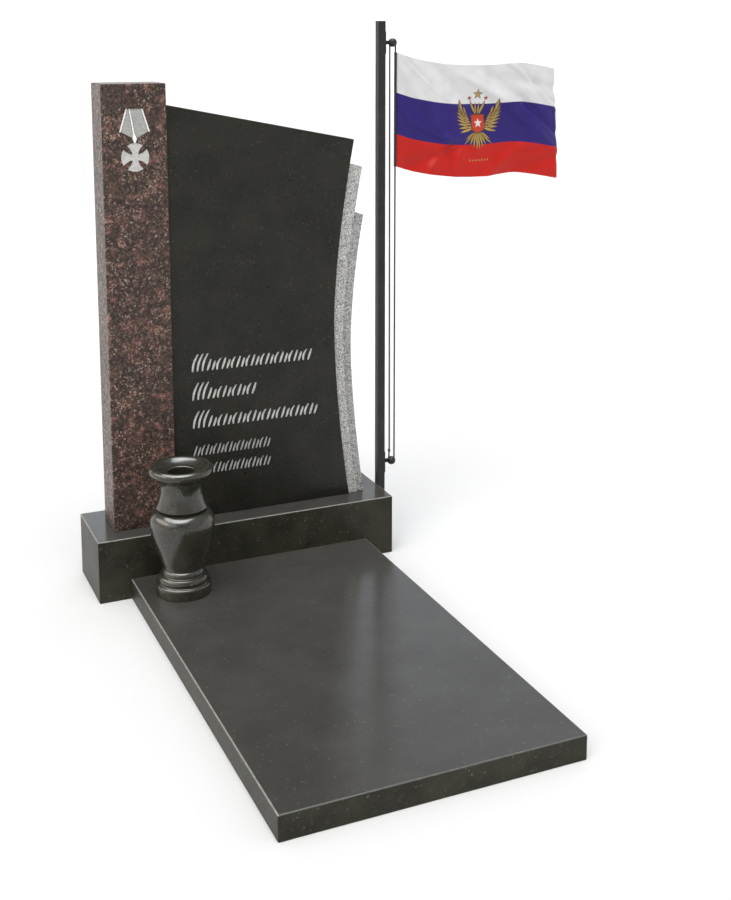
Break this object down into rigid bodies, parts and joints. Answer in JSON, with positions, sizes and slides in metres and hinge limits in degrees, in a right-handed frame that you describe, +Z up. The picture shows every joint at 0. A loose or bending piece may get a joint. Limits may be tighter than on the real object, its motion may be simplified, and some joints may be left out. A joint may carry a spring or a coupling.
{
  "type": "granite grave memorial",
  "caption": "Grave memorial: red column and dark stele with light side strips on a plinth, a flat slab with a turned vase, and a small flagpole with rope and flag.",
  "frame": {"origin": "middle of the plinth's underside, on the ground", "axes": "+Z up; the inscribed front faces -Y and the slab lies that way; +X to the right, towards the flagpole"},
  "size_m": [1.2495, 1.2003, 1.342],
  "materials": {
    "dark_granite": "polished, fine light flecks",
    "red_granite": "polished, coarse red, pink and black grain",
    "light_granite": "matt, fine grey speckle",
    "pole_paint": "satin dark grey paint",
    "rope": "braided dark cord",
    "flag_cloth": "satin cloth in white, blue and red stripes"
  },
  "bodies": {
    "root": {"plinth": "dark_granite", "grave_slab": "dark_granite", "column": "red_granite", "stele": "dark_granite", "side_strip_inner": "light_granite", "side_strip_outer": "light_granite", "vase": "dark_granite", "flagpole": "pole_paint", "upper_bracket": "pole_paint", "lower_bracket": "pole_paint", "halyard": "rope", "flag": "flag_cloth"}
  },
  "joints": []
}
